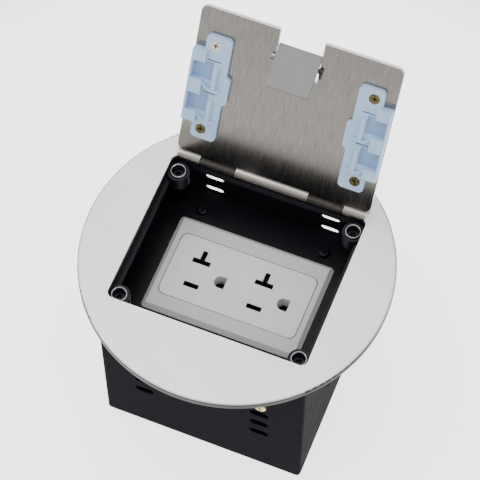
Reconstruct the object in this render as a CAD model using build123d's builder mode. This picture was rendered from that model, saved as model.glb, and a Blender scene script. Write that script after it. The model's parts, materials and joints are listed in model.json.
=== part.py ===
from build123d import *
import os
from math import cos, hypot, radians, sin, tan

os.makedirs("parts", exist_ok=True)

# Floor socket box in millimetres. X runs along the hinge, Y from front to hinge, Z up.
# The origin is the centre of the back box's outer bottom face.

# Back box, a folded sheet steel box that is cast into the floor
total_depth = 108.0
box_wall = 1.2
box_corner = 2.0
box_base_radius = 1.8

# Round trim flange with its rolled hinge barrels
flange_overhang = 4.22
flange_sheet = 1.5
rim_depth = 3.5
rim_radius = 1.2
aperture_side_margin = 2.6
aperture_front_margin = 6.3
aperture_corner = 3.0

# Hinge, a pin along X at the back of the aperture
hinge_inset = 2.9
barrel_radius = 1.9
pin_radius = 1.0
pin_fit = 0.03
notch_span = 17.4
outer_barrel_length = 10.5
barrel_side_gap = 0.3
barrel_end_inset = 1.5
pin_end_inset = 0.2

# Lid, shown open on its stop
lid_open_angle = 116.0
lid_thickness = 2.0
lid_gap = 0.3
lid_setback = 3.2
lid_corner = 3.0
notch_width = 20.4

# Cable flap, which swings inwards out of the lid's notch, shown 141 degrees from flush
flap_open_angle = 141.0
flap_length = 19.6
flap_pivot_inset = 13.4
flap_pivot_lift = 0.43
flap_gap = 0.3
flap_corner = 0.5
flap_bar_radius = 1.1
flap_pin_radius = 0.55
flap_pin_fit = 0.05
flap_lug_radius = 1.5
flap_lug_width = 1.6

# Inner frame below the flange
frame_wall = 1.3
frame_depth = 8.5
frame_clearance = 0.2
ledge_depth = 6.6
ledge_width = 2.1
hinge_pocket_depth = 4.3
hinge_pocket_margin = 0.6
stop_gap = 0.12

# Corner screws with their sleeves
corner_inset_x = 7.1
corner_inset_y = 10.5
boss_radius = 5.0
boss_top = 4.0
boss_bottom = 12.0
sleeve_radius = 3.8
sleeve_bore = 2.85
sleeve_top = 3.0
sleeve_bottom = 11.0
sleeve_floor = 1.5
sleeve_edge = 0.3
seat_fit = 0.05
m3_radius = 1.5
m3_hole = 1.65
corner_head_radius = 2.7
corner_head_height = 3.0
corner_screw_end = 33.5
hex_key = 2.5
hex_depth = 1.6

# Socket tray, the metal floor of the well
tray_depth = 29.3
tray_sheet = 1.5
tray_clearance = 0.3
tray_lip = 8.0
tray_end_band = 10.2
tray_side_band = 16.8
tray_screw_x = 30.0
tray_screw_margin = 6.0
nut_radius = 3.2
nut_height = 2.3
bracket_end_margin = 3.8
bracket_screw_margin_x = 6.0
bracket_screw_margin_y = 3.5
bracket_drop = 6.0
bracket_sheet = 1.5

# Receptacle, its face centred a little behind the middle of the box
device_y = 1.0
face_end_border = 17.85
face_side_border = 10.15
face_corner = 3.5
face_edge = 0.5
face_gap = 0.2
face_depth = 26.8
face_bottom = 34.0
face_rim_end = 1.85
face_rim_side = 6.0
face_rim_height = 1.5
plate_end_border = 4.45
plate_side_border = 8.5
plate_height = 2.3
plate_corner = 2.0
plate_bevel = 1.9
plate_skin = 0.9
plate_web = 0.9
hook_x = 12.0
hook_width = 4.0
hook_sheet = 1.0
hook_lip = 0.4
hook_lip_depth = 0.8
hook_gap = 0.3

# Outlets: a straight slot, a T slot and a round-backed earth hole each
outlet_pitch = 30.6
outlet_x = -4.5
outlet_y = -0.5
blade_offset = 6.35
ground_offset = 11.9
slot_width = 2.2
straight_slot_length = 7.0
tee_slot_length = 8.5
tee_stem = 4.7
ground_radius = 2.9
ground_flat = 2.3
slot_lead = 0.3

# Tamper shutters behind the blade slots
shutter_travel = 2.6
shutter_width = 12.4
shutter_front = 11.2
shutter_back = 12.3
shutter_thickness = 2.4
shutter_gap = 0.15

# Receptacle housing, contacts and yoke
housing_end_gap = 0.15
housing_side_gap = 0.2
housing_depth = 24.0
housing_corner = 2.0
channel_half = 2.2
channel_depth = 16.0
channel_end_gap = 0.5
ground_channel_half = 3.2
contact_sheet = 0.6
contact_width = 6.4
contact_height = 12.0
blade_gap = 1.7
ground_gap = 4.7
contact_floor_gap = 0.15
yoke_end = 3.85
yoke_side = 5.5
yoke_sheet = 1.5
yoke_window_gap = 0.4
device_screw_x = 26.0
device_screw_margin = 3.6
device_head_radius = 2.4
device_head_height = 1.2
screw_head_radius = 2.6
screw_head_height = 1.8
screw_length = 6.0
housing_screw_inset = 3.35
housing_screw_bite = 3.0
terminal_drop = 13.5
terminal_radius = 1.75
terminal_head_radius = 3.4
terminal_head_height = 2.0
terminal_gap = 0.1
ground_tab_width = 9.0
ground_tab_height = 9.0
ground_tab_sheet = 1.2
ground_tab_slot = 1.0

# Vents, knock-outs and fixings of the back box
vent_x = 28.4
vent_length = 9.2
vent_height = 4.4
vent_depths = (17.0, 26.8, 52.0, 62.0, 72.0)
knockout_radius = 11.1
knockout_cut = 0.7
knockout_web = 2.4
side_knockout_z = 38.0
base_knockout_x = 19.0
base_hole_x = 70.0
base_hole_y = 60.0
base_hole_radius = 2.5
earth_x = 29.2
earth_depth = 41.0
earth_radius = 2.0
earth_head_radius = 3.0
earth_head_height = 2.0
earth_screw_length = 9.0
earth_nut_height = 3.0
earth_nut_radius = 3.4

# Gasket under the flange
gasket_thickness = 1.0
gasket_gap = 0.8

# Mouldings screwed inside the lid, placed from its hinge edge and, for the insets, from its side
clip_inner_inset = 17.0
clip_outer_inset = 5.2
clip_start = 10.1
clip_length = 53.6
clip_base = 2.0
clip_corner = 2.2
clip_side_gap = 0.3
clip_pitch = 16.6
clip_screw_side_inset = 9.7
clip_screw_inset = 4.9
clip_screw_radius = 1.4
clip_head_radius = 2.5
clip_thread = 1.4
wing_start = 19.1
wing_length = 36.6
wing_inner_inset = 6.8
wing_height = 4.4
pocket_inset = 5.85
pocket_length = 9.3
pocket_width = 9.2
pocket_first = 29.1
pocket_floor = 1.2
bar_inset = 12.0
bar_width = 2.6
bar_length = 11.8
bar_height = 1.6
bar_round = 1.1
bar_first = 25.8
nib_reach = 2.0
nib_length = 15.1
nib_ramp = 1.5
rib_first = 20.2
rib_outer_inset = 6.2
rib_inner_inset = 15.2
rib_thickness = 0.9
rib_height = 3.6
rib_sag = 4.0
slit_inset = 10.4
slit_length = 6.0
slit_width = 0.7
slit_first = 34.6

# Places worked out from the sizes above
face_length = outlet_pitch + 2 * face_end_border
face_width = 2 * (blade_offset + face_side_border)
plate_length = face_length + 2 * plate_end_border
plate_width = face_width + 2 * plate_side_border
housing_length = face_length - 2 * housing_end_gap
housing_width = face_width - 2 * housing_side_gap
box_length = plate_length + 2 * (tray_end_band + tray_clearance + box_wall)
box_width = plate_width + 2 * (device_y + tray_side_band + tray_clearance + box_wall)
box_height = total_depth - rim_depth
flange_top = total_depth
flange_radius = hypot(box_length, box_width) / 2 + flange_overhang
aperture_length = box_length - 2 * aperture_side_margin
aperture_front = aperture_front_margin - box_width / 2
hinge_y = box_width / 2 - hinge_inset
hinge_z = flange_top - barrel_radius
barrel_half_span = aperture_length / 2 - barrel_end_inset
tab_outer = barrel_half_span - outer_barrel_length
tab_inner = tab_outer - notch_span
corner_x = box_length / 2 - corner_inset_x
corner_y = box_width / 2 - corner_inset_y
tray_screw_y = device_y + plate_width / 2 + tray_screw_margin
device_screw_y = face_width / 2 + device_screw_margin
housing_screw_x = face_length / 2 - housing_screw_inset
housing_screw_y = face_width / 2 - housing_screw_inset
aperture_back = hinge_y - barrel_radius
aperture_middle = (aperture_front + aperture_back) / 2
aperture_depth = aperture_back - aperture_front
stop_y = hinge_y + barrel_radius * tan(radians(lid_open_angle / 2)) + stop_gap
lid_length = hinge_y - lid_setback - aperture_front - lid_gap
lid_end = lid_setback + lid_length
lid_width = aperture_length - 2 * lid_gap
lid_inner = lid_thickness - barrel_radius
lid_side = lid_width / 2
flap_pivot = lid_end - flap_pivot_inset
tray_top = flange_top - tray_depth
tray_bottom = tray_top - tray_sheet
face_top = flange_top - face_depth
face_base = flange_top - face_bottom
outlet_columns = (outlet_x - outlet_pitch / 2, outlet_x + outlet_pitch / 2)
corner_places = [(x, y) for x in (-corner_x, corner_x) for y in (-corner_y, corner_y)]
tray_screw_places = [(x, y) for x in (-tray_screw_x, tray_screw_x) for y in (-tray_screw_y, tray_screw_y)]
device_screw_places = [
    (x, device_y + y) for x in (-device_screw_x, device_screw_x) for y in (-device_screw_y, device_screw_y)
]
housing_screw_places = [
    (x, device_y + y) for x in (-housing_screw_x, housing_screw_x) for y in (-housing_screw_y, housing_screw_y)
]


def save(piece, name):
    """Label a finished piece and write it to its own file."""
    piece.part.label = name
    export_step(piece.part, f"parts/{name}.step")


def level(depth):
    """The horizontal plane at this depth below the flange's top face."""
    return Plane.XY.offset(flange_top - depth)


def leaf_plane(origin, open_angle):
    """The plane of a leaf that turns about X: local Y runs up the leaf and Z out of its inner face."""
    turn = radians(open_angle)
    return Plane(origin=origin, x_dir=(1, 0, 0), z_dir=(0, -sin(turn), -cos(turn)))


# Back box: open at the top, with vents in the front and back walls and closed knock-outs
with BuildPart() as back_box:
    with BuildSketch():
        RectangleRounded(box_length, box_width, box_corner)
    extrude(amount=box_height)
    fillet(back_box.faces().sort_by(Axis.Z)[0].edges(), box_base_radius)
    with BuildSketch(Plane.XY.offset(box_wall)):
        RectangleRounded(box_length - 2 * box_wall, box_width - 2 * box_wall, box_corner - box_wall)
    extrude(amount=box_height, mode=Mode.SUBTRACT)
    with BuildSketch(Plane.XZ):
        for vent_depth in vent_depths:
            with Locations((-vent_x, flange_top - vent_depth), (vent_x, flange_top - vent_depth)):
                SlotOverall(vent_length, vent_height)
    extrude(amount=box_width, both=True, mode=Mode.SUBTRACT)
    with BuildSketch(Plane.XZ.offset(box_width / 2)):
        with Locations((earth_x, flange_top - earth_depth)):
            Circle(earth_radius + seat_fit)
    extrude(amount=-2 * box_wall, mode=Mode.SUBTRACT)
    with BuildSketch(Plane.YZ):
        with Locations((0, side_knockout_z)):
            Circle(knockout_radius)
            Circle(knockout_radius - knockout_cut, mode=Mode.SUBTRACT)
            Rectangle(knockout_web, 2 * knockout_radius, mode=Mode.SUBTRACT)
    extrude(amount=box_length, both=True, mode=Mode.SUBTRACT)
    with BuildSketch():
        with Locations((-base_knockout_x, 0), (base_knockout_x, 0)):
            Circle(knockout_radius)
            Circle(knockout_radius - knockout_cut, mode=Mode.SUBTRACT)
            Rectangle(knockout_web, 2 * knockout_radius, mode=Mode.SUBTRACT)
        with GridLocations(base_hole_x, base_hole_y, 2, 2):
            Circle(base_hole_radius)
    extrude(amount=2 * box_wall, mode=Mode.SUBTRACT)
save(back_box, "back_box")

# Trim flange: a stainless disc with a turned-down rim and three rolled barrels at the aperture's back
tab_spans = ((-barrel_half_span, -tab_outer), (-tab_inner, tab_inner), (tab_outer, barrel_half_span))
notch_middle = (tab_inner + tab_outer) / 2
with BuildPart() as trim_flange:
    with BuildSketch(level(rim_depth)):
        Circle(flange_radius)
    extrude(amount=rim_depth)
    fillet(trim_flange.faces().sort_by(Axis.Z)[-1].edges(), rim_radius)
    with BuildSketch(level(rim_depth)):
        Circle(flange_radius - flange_sheet)
    extrude(amount=rim_depth - flange_sheet, mode=Mode.SUBTRACT)
    with BuildSketch(level(rim_depth)):
        with Locations((0, aperture_middle)):
            RectangleRounded(aperture_length, aperture_depth, aperture_corner)
        with Locations((0, (aperture_middle + hinge_y) / 2)):
            Rectangle(2 * barrel_half_span, hinge_y - aperture_middle)
        with Locations((-notch_middle, hinge_y), (notch_middle, hinge_y)):
            Rectangle(notch_span, 2 * (stop_y - hinge_y))
    extrude(amount=rim_depth, mode=Mode.SUBTRACT)
    for start, end in tab_spans:
        with BuildSketch(Plane.YZ.offset(start)):
            with Locations((hinge_y, hinge_z)):
                Circle(barrel_radius)
        extrude(amount=end - start)
    with BuildSketch(Plane.YZ.offset(-barrel_half_span)):
        with Locations((hinge_y, hinge_z)):
            Circle(pin_radius + pin_fit)
    extrude(amount=2 * barrel_half_span, mode=Mode.SUBTRACT)
save(trim_flange, "trim_flange")

# Gasket: a soft ring under the flange that seals it to the floor round the box
with BuildPart() as flange_gasket:
    with BuildSketch(level(rim_depth + gasket_thickness)):
        Circle(flange_radius - flange_sheet)
        RectangleRounded(box_length + 2 * gasket_gap, box_width + 2 * gasket_gap, box_corner, mode=Mode.SUBTRACT)
    extrude(amount=gasket_thickness)
save(flange_gasket, "flange_gasket")

# Inner frame: a moulded plate under the flange with a collar, two ledges and four screw bosses
collar_length = box_length - 2 * box_wall - 2 * frame_clearance
well_length = collar_length - 2 * frame_wall
collar_front = aperture_front - frame_clearance - frame_wall
collar_back = aperture_back + frame_wall
collar_middle = (collar_front + collar_back) / 2
collar_width = collar_back - collar_front
with BuildPart() as inner_frame:
    with BuildSketch(level(rim_depth)):
        Circle(flange_radius - flange_sheet - seat_fit)
    extrude(amount=rim_depth - flange_sheet)
    with BuildSketch(level(frame_depth)):
        with Locations((0, collar_middle)):
            Rectangle(collar_length, collar_width)
    extrude(amount=frame_depth - rim_depth)
    with BuildSketch(level(frame_depth)):
        with Locations((0, collar_middle)):
            RectangleRounded(well_length - 2 * ledge_width, collar_width - 2 * frame_wall, aperture_corner)
    extrude(amount=frame_depth, mode=Mode.SUBTRACT)
    with BuildSketch(level(ledge_depth)):
        with Locations((0, collar_middle)):
            RectangleRounded(well_length, collar_width - 2 * frame_wall, aperture_corner)
    extrude(amount=ledge_depth, mode=Mode.SUBTRACT)
    with BuildSketch(level(boss_bottom)):
        with Locations(corner_places):
            Circle(boss_radius)
    extrude(amount=boss_bottom - boss_top)
    with BuildSketch(level(hinge_pocket_depth)):
        with Locations((0, (collar_back - frame_wall + stop_y + hinge_pocket_margin) / 2)):
            Rectangle(
                2 * barrel_half_span + hinge_pocket_margin,
                stop_y + hinge_pocket_margin - collar_back + frame_wall,
            )
    extrude(amount=hinge_pocket_depth, mode=Mode.SUBTRACT)
    with BuildSketch(level(sleeve_bottom)):
        with Locations(corner_places):
            Circle(sleeve_radius + seat_fit)
    extrude(amount=sleeve_bottom, mode=Mode.SUBTRACT)
    with BuildSketch(level(boss_bottom)):
        with Locations(corner_places):
            Circle(m3_hole)
    extrude(amount=boss_bottom, mode=Mode.SUBTRACT)
save(inner_frame, "inner_frame")

# Corner sleeves: bright stepped sleeves that stand in the frame's four bosses
with BuildPart() as corner_sleeves:
    with BuildSketch(level(sleeve_bottom)):
        with Locations(corner_places):
            Circle(sleeve_radius)
    extrude(amount=sleeve_bottom - sleeve_top)
    with BuildSketch(level(sleeve_bottom - sleeve_floor)):
        with Locations(corner_places):
            Circle(sleeve_bore)
    extrude(amount=sleeve_bottom, mode=Mode.SUBTRACT)
    with BuildSketch(level(sleeve_bottom)):
        with Locations(corner_places):
            Circle(m3_hole)
    extrude(amount=sleeve_bottom, mode=Mode.SUBTRACT)
    chamfer(corner_sleeves.edges().filter_by(GeomType.CIRCLE).group_by(Axis.Z)[-1], sleeve_edge)
save(corner_sleeves, "corner_sleeves")

# Corner screws: long socket-head screws deep in the sleeves, which draw the frame down to the tray
with BuildPart() as corner_screws:
    with BuildSketch(level(sleeve_bottom - sleeve_floor)):
        with Locations(corner_places):
            Circle(corner_head_radius)
    extrude(amount=corner_head_height)
    with BuildSketch(level(corner_screw_end)):
        with Locations(corner_places):
            Circle(m3_radius)
    extrude(amount=corner_screw_end - sleeve_bottom + sleeve_floor)
    with BuildSketch(level(sleeve_bottom - sleeve_floor - corner_head_height)):
        with Locations(corner_places):
            RegularPolygon(hex_key / 2, 6, major_radius=False)
    extrude(amount=-hex_depth, mode=Mode.SUBTRACT)
save(corner_screws, "corner_screws")

# Tray nuts: press nuts on the tray that take the corner screws
with BuildPart() as tray_nuts:
    with BuildSketch(level(tray_depth)):
        with Locations(corner_places):
            Circle(nut_radius)
            Circle(m3_radius + seat_fit, mode=Mode.SUBTRACT)
    extrude(amount=nut_height)
save(tray_nuts, "tray_nuts")

# Socket tray: a folded sheet floor with the receptacle's window and side lips turned down
tray_length = box_length - 2 * box_wall - 2 * tray_clearance
tray_width = box_width - 2 * box_wall - 2 * tray_clearance
hook_y = plate_width / 2 - plate_skin - hook_sheet / 2 - hook_gap
hook_places = [(x, device_y + y) for x in (-hook_x, hook_x) for y in (-hook_y, hook_y)]
with BuildPart() as socket_tray:
    with BuildSketch(Plane.XY.offset(tray_bottom)):
        RectangleRounded(tray_length, tray_width, box_corner)
    extrude(amount=tray_sheet)
    with BuildSketch(Plane.XY.offset(tray_top - tray_lip)):
        for side in (-1, 1):
            with Locations((side * (tray_length - tray_sheet) / 2, 0)):
                Rectangle(tray_sheet, tray_width - 2 * box_corner)
    extrude(amount=tray_lip)
    with BuildSketch(Plane.XY.offset(tray_bottom)):
        with Locations((0, device_y)):
            RectangleRounded(face_length + 2 * face_gap, face_width + 2 * face_gap, face_corner)
        with Locations(hook_places):
            Rectangle(hook_width + 2 * hook_gap, hook_sheet + 2 * hook_gap)
        with Locations(corner_places + tray_screw_places + device_screw_places):
            Circle(m3_hole)
    extrude(amount=tray_sheet, mode=Mode.SUBTRACT)
save(socket_tray, "socket_tray")

# Tray brackets: four angles welded to the front and back walls that carry the tray
bracket_inner_x = tray_screw_x - bracket_screw_margin_x
bracket_outer_x = box_length / 2 - bracket_end_margin
bracket_middle = (bracket_inner_x + bracket_outer_x) / 2
inner_wall_y = box_width / 2 - box_wall
bracket_reach = inner_wall_y - tray_screw_y + bracket_screw_margin_y
with BuildPart() as tray_brackets:
    for side in (-1, 1):
        with BuildSketch(Plane.XY.offset(tray_bottom - bracket_sheet)):
            with Locations(
                (-bracket_middle, side * (inner_wall_y - bracket_reach / 2)),
                (bracket_middle, side * (inner_wall_y - bracket_reach / 2)),
            ):
                Rectangle(bracket_outer_x - bracket_inner_x, bracket_reach)
        extrude(amount=bracket_sheet)
        with BuildSketch(Plane.XY.offset(tray_bottom - bracket_drop)):
            with Locations(
                (-bracket_middle, side * (inner_wall_y - bracket_sheet / 2)),
                (bracket_middle, side * (inner_wall_y - bracket_sheet / 2)),
            ):
                Rectangle(bracket_outer_x - bracket_inner_x, bracket_sheet)
        extrude(amount=bracket_drop)
    with BuildSketch(Plane.XY.offset(tray_bottom - bracket_sheet)):
        with Locations(corner_places):
            Circle(m3_hole)
        with Locations(tray_screw_places):
            Circle(m3_radius + seat_fit)
    extrude(amount=bracket_sheet, mode=Mode.SUBTRACT)
save(tray_brackets, "tray_brackets")

# Tray screws: small dark pan-head screws from the tray into its brackets
with BuildPart() as tray_screws:
    with BuildSketch(Plane.XY.offset(tray_top)):
        with Locations(tray_screw_places):
            Circle(screw_head_radius)
    extrude(amount=screw_head_height)
    fillet(tray_screws.faces().filter_by(Axis.Z).group_by(Axis.Z)[-1].edges(), screw_head_height / 2)
    with BuildSketch(Plane.XY.offset(tray_top - screw_length)):
        with Locations(tray_screw_places):
            Circle(m3_radius)
    extrude(amount=screw_length)
    with BuildSketch(Plane.XY.offset(tray_top + screw_head_height)):
        with Locations(tray_screw_places):
            Rectangle(screw_head_radius, face_edge)
            Rectangle(face_edge, screw_head_radius)
    extrude(amount=-screw_head_height / 2, mode=Mode.SUBTRACT)
save(tray_screws, "tray_screws")

# Cover plate: a bevelled snap-on surround, hollow below, with four hooks through the tray
with BuildPart() as cover_plate:
    with BuildSketch(Plane.XY.offset(tray_top)):
        with Locations((0, device_y)):
            RectangleRounded(plate_length, plate_width, plate_corner)
    extrude(amount=plate_height)
    chamfer(cover_plate.faces().sort_by(Axis.Z)[-1].edges(), plate_bevel)
    with BuildSketch(Plane.XY.offset(tray_top)):
        with Locations((0, device_y)):
            RectangleRounded(plate_length - 2 * plate_bevel, plate_width - 2 * plate_bevel, plate_corner)
            RectangleRounded(
                face_length + 2 * face_gap + 2 * plate_web,
                face_width + 2 * face_gap + 2 * plate_web,
                face_corner + plate_web,
                mode=Mode.SUBTRACT,
            )
    extrude(amount=plate_height - plate_skin, mode=Mode.SUBTRACT)
    with BuildSketch(Plane.XY.offset(tray_top)):
        with Locations((0, device_y)):
            RectangleRounded(face_length + 2 * face_gap, face_width + 2 * face_gap, face_corner)
    extrude(amount=plate_height, mode=Mode.SUBTRACT)
    with BuildSketch(Plane.XY.offset(tray_bottom - hook_gap)):
        with Locations(hook_places):
            Rectangle(hook_width, hook_sheet)
    extrude(amount=tray_sheet + hook_gap + plate_height - plate_skin)
    with BuildSketch(Plane.XY.offset(tray_bottom - hook_gap)):
        for x, y in hook_places:
            with Locations((x, y + (hook_lip / 2 if y > device_y else -hook_lip / 2))):
                Rectangle(hook_width, hook_sheet + hook_lip)
    extrude(amount=-hook_lip_depth)
save(cover_plate, "cover_plate")

# Receptacle face: a moulded block with the slots, passing through the tray and cover plate
shutter_room = shutter_thickness + 2 * shutter_gap
with BuildPart() as receptacle_face:
    with BuildSketch(Plane.XY.offset(face_base)):
        with Locations((0, device_y)):
            RectangleRounded(face_length, face_width, face_corner)
    extrude(amount=face_top - face_base)
    fillet(receptacle_face.faces().sort_by(Axis.Z)[-1].edges(), face_edge)
    with BuildSketch(Plane.XY.offset(tray_bottom - face_rim_height)):
        with Locations((0, device_y)):
            RectangleRounded(face_length + 2 * face_rim_end, face_width + 2 * face_rim_side, face_corner)
    extrude(amount=face_rim_height)
    with BuildSketch(Plane.XY.offset(face_base)):
        for column in outlet_columns:
            with Locations((column, outlet_y - blade_offset)):
                Rectangle(straight_slot_length, slot_width)
            with Locations((column, outlet_y + blade_offset)):
                Rectangle(tee_slot_length, slot_width)
            with Locations((column, outlet_y + blade_offset + (slot_width + tee_stem) / 2)):
                Rectangle(slot_width, tee_stem)
    extrude(amount=face_top - face_base, mode=Mode.SUBTRACT)
    with BuildSketch(Plane.XY.offset(face_base)):
        for column in outlet_columns:
            with Locations((column + ground_offset, outlet_y)):
                Circle(ground_radius)
            with Locations((column + ground_offset + ground_flat / 2, outlet_y)):
                Rectangle(ground_flat, 2 * ground_radius)
            with Locations((column + ground_offset + ground_flat + ground_radius, outlet_y)):
                Rectangle(2 * ground_radius, 2 * ground_radius, mode=Mode.SUBTRACT)
    extrude(amount=face_top - face_base, mode=Mode.SUBTRACT)
    chamfer(receptacle_face.faces().sort_by(Axis.Z)[-1].inner_wires().edges(), slot_lead)
    with BuildSketch(Plane.XY.offset(face_base)):
        for column in outlet_columns:
            with Locations((column, outlet_y + (shutter_back + shutter_travel - shutter_front) / 2)):
                Rectangle(
                    shutter_width + 2 * shutter_gap,
                    shutter_front + shutter_back + shutter_travel + 2 * shutter_gap,
                )
    extrude(amount=shutter_room, mode=Mode.SUBTRACT)
    with BuildSketch(Plane.XY.offset(face_base)):
        with Locations(housing_screw_places):
            Circle(m3_radius + seat_fit)
    extrude(amount=housing_screw_bite, mode=Mode.SUBTRACT)
    with BuildSketch(Plane.XY.offset(tray_bottom - face_rim_height)):
        with Locations(device_screw_places):
            Circle(m3_hole)
    extrude(amount=face_rim_height, mode=Mode.SUBTRACT)
save(receptacle_face, "receptacle_face")

# Tamper shutters: one sliding plate behind each outlet, its windows a travel short of the slots
for side, column in zip(("left", "right"), outlet_columns):
    with BuildPart() as tamper_shutter:
        with BuildSketch(Plane.XY.offset(face_base + shutter_gap)):
            with Locations((column, outlet_y + (shutter_back - shutter_front) / 2)):
                Rectangle(shutter_width, shutter_front + shutter_back)
            with Locations((column, outlet_y - blade_offset - shutter_travel)):
                Rectangle(straight_slot_length, slot_width, mode=Mode.SUBTRACT)
            with Locations((column, outlet_y + blade_offset - shutter_travel)):
                Rectangle(tee_slot_length, slot_width, mode=Mode.SUBTRACT)
            with Locations((column, outlet_y + blade_offset - shutter_travel + (slot_width + tee_stem) / 2)):
                Rectangle(slot_width, tee_stem, mode=Mode.SUBTRACT)
        extrude(amount=shutter_thickness)
    save(tamper_shutter, f"tamper_shutter_{side}")

# Receptacle housing: the rear moulding with a channel for each row of contacts
channel_rows = (
    (outlet_y - blade_offset - channel_half, outlet_y - blade_offset + channel_half, 0),
    (outlet_y + blade_offset - channel_half, outlet_y + blade_offset + slot_width / 2 + tee_stem + shutter_gap, 0),
    (outlet_y - ground_channel_half, outlet_y + ground_channel_half, ground_offset),
)
housing_base = face_base - housing_depth
contact_base = face_base - channel_depth + contact_floor_gap
terminal_z = face_base - terminal_drop
terminal_places = [(column, terminal_z) for column in outlet_columns]
housing_front = device_y - housing_width / 2
housing_back = device_y + housing_width / 2
with BuildPart() as receptacle_housing:
    with BuildSketch(Plane.XY.offset(housing_base)):
        with Locations((0, device_y)):
            RectangleRounded(housing_length, housing_width, housing_corner)
    extrude(amount=housing_depth)
    chamfer(receptacle_housing.faces().sort_by(Axis.Z)[0].edges(), face_edge)
    with BuildSketch(Plane.XY.offset(face_base - channel_depth)):
        for low, high, shift in channel_rows:
            with Locations((outlet_x + shift, (low + high) / 2)):
                Rectangle(outlet_pitch + contact_width + 2 * channel_end_gap, high - low)
    extrude(amount=channel_depth, mode=Mode.SUBTRACT)
    with BuildSketch(Plane.XZ.offset(-housing_front)):
        with Locations(terminal_places):
            Circle(terminal_radius + seat_fit)
    extrude(amount=housing_front - channel_rows[0][0], mode=Mode.SUBTRACT)
    with BuildSketch(Plane.XZ.offset(-housing_back)):
        with Locations(terminal_places):
            Circle(terminal_radius + seat_fit)
    extrude(amount=housing_back - channel_rows[1][1], mode=Mode.SUBTRACT)
    with BuildSketch(Plane.XY.offset(face_base - channel_depth)):
        with Locations((housing_length / 4, outlet_y)):
            Rectangle(housing_length / 2, ground_channel_half)
    extrude(amount=contact_floor_gap + ground_tab_slot, mode=Mode.SUBTRACT)
    with BuildSketch(Plane.XY.offset(housing_base)):
        with Locations(housing_screw_places):
            Circle(m3_hole)
    extrude(amount=housing_depth, mode=Mode.SUBTRACT)
save(receptacle_housing, "receptacle_housing")

# Mounting yoke: a flat plated strap under the face's rim, tapped for the device screws
with BuildPart() as mounting_yoke:
    with BuildSketch(Plane.XY.offset(tray_bottom - face_rim_height - yoke_sheet)):
        with Locations((0, device_y)):
            RectangleRounded(face_length + 2 * yoke_end, face_width + 2 * yoke_side, face_corner)
            RectangleRounded(
                face_length + 2 * yoke_window_gap, face_width + 2 * yoke_window_gap, face_corner, mode=Mode.SUBTRACT
            )
        with Locations(device_screw_places):
            Circle(m3_radius + seat_fit, mode=Mode.SUBTRACT)
    extrude(amount=yoke_sheet)
save(mounting_yoke, "mounting_yoke")

# Device screws: low-head screws hidden under the cover plate, which clamp face and yoke to the tray
with BuildPart() as device_screws:
    with BuildSketch(Plane.XY.offset(tray_top)):
        with Locations(device_screw_places):
            Circle(device_head_radius)
    extrude(amount=device_head_height)
    with BuildSketch(Plane.XY.offset(tray_top - screw_length)):
        with Locations(device_screw_places):
            Circle(m3_radius)
    extrude(amount=screw_length)
    with BuildSketch(Plane.XY.offset(tray_top + device_head_height)):
        with Locations(device_screw_places):
            Rectangle(device_head_radius, face_edge)
            Rectangle(face_edge, device_head_radius)
    extrude(amount=-device_head_height / 2, mode=Mode.SUBTRACT)
save(device_screws, "device_screws")

# Housing screws: four screws from behind that hold the housing to the face
with BuildPart() as housing_screws:
    with BuildSketch(Plane.XY.offset(housing_base)):
        with Locations(housing_screw_places):
            Circle(device_head_radius)
    extrude(amount=-device_head_height)
    with BuildSketch(Plane.XY.offset(housing_base)):
        with Locations(housing_screw_places):
            Circle(m3_radius)
    extrude(amount=housing_depth + housing_screw_bite - seat_fit)
save(housing_screws, "housing_screws")


def contact_strip(row_y, gap, shift):
    """A strip along X with a pair of upright leaves at each outlet."""
    leaf_y = (gap + contact_sheet) / 2
    with BuildPart() as strip:
        with BuildSketch(Plane.XY.offset(contact_base)):
            with Locations((outlet_x + shift, row_y)):
                Rectangle(outlet_pitch + contact_width, gap + 2 * contact_sheet)
        extrude(amount=contact_sheet)
        with BuildSketch(Plane.XY.offset(contact_base)):
            for column in outlet_columns:
                with Locations((column + shift, row_y - leaf_y), (column + shift, row_y + leaf_y)):
                    Rectangle(contact_width, contact_sheet)
        extrude(amount=contact_height)
    return strip


# Contacts: brass strips for the straight slots, the T slots and the earth holes
line_contacts = contact_strip(outlet_y - blade_offset, blade_gap, 0)
save(line_contacts, "line_contacts")
neutral_contacts = contact_strip(outlet_y + blade_offset, blade_gap, 0)
save(neutral_contacts, "neutral_contacts")

# The earth strip runs out of the housing's end and turns down as a terminal tab
ground_strip = contact_strip(outlet_y, ground_gap, ground_offset)
ground_tab_x = housing_length / 2 + seat_fit
tongue_start = outlet_x + ground_offset + outlet_pitch / 2
with BuildPart() as ground_contacts:
    add(ground_strip.part)
    with BuildSketch(Plane.XY.offset(contact_base)):
        with Locations(((tongue_start + ground_tab_x) / 2, outlet_y)):
            Rectangle(ground_tab_x - tongue_start, ground_channel_half - seat_fit)
    extrude(amount=contact_sheet)
    with BuildSketch(Plane.YZ.offset(ground_tab_x)):
        with Locations((outlet_y, contact_base + contact_sheet - ground_tab_height / 2)):
            Rectangle(ground_tab_width, ground_tab_height)
            Circle(terminal_radius + seat_fit, mode=Mode.SUBTRACT)
    extrude(amount=ground_tab_sheet)
save(ground_contacts, "ground_contacts")

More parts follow.
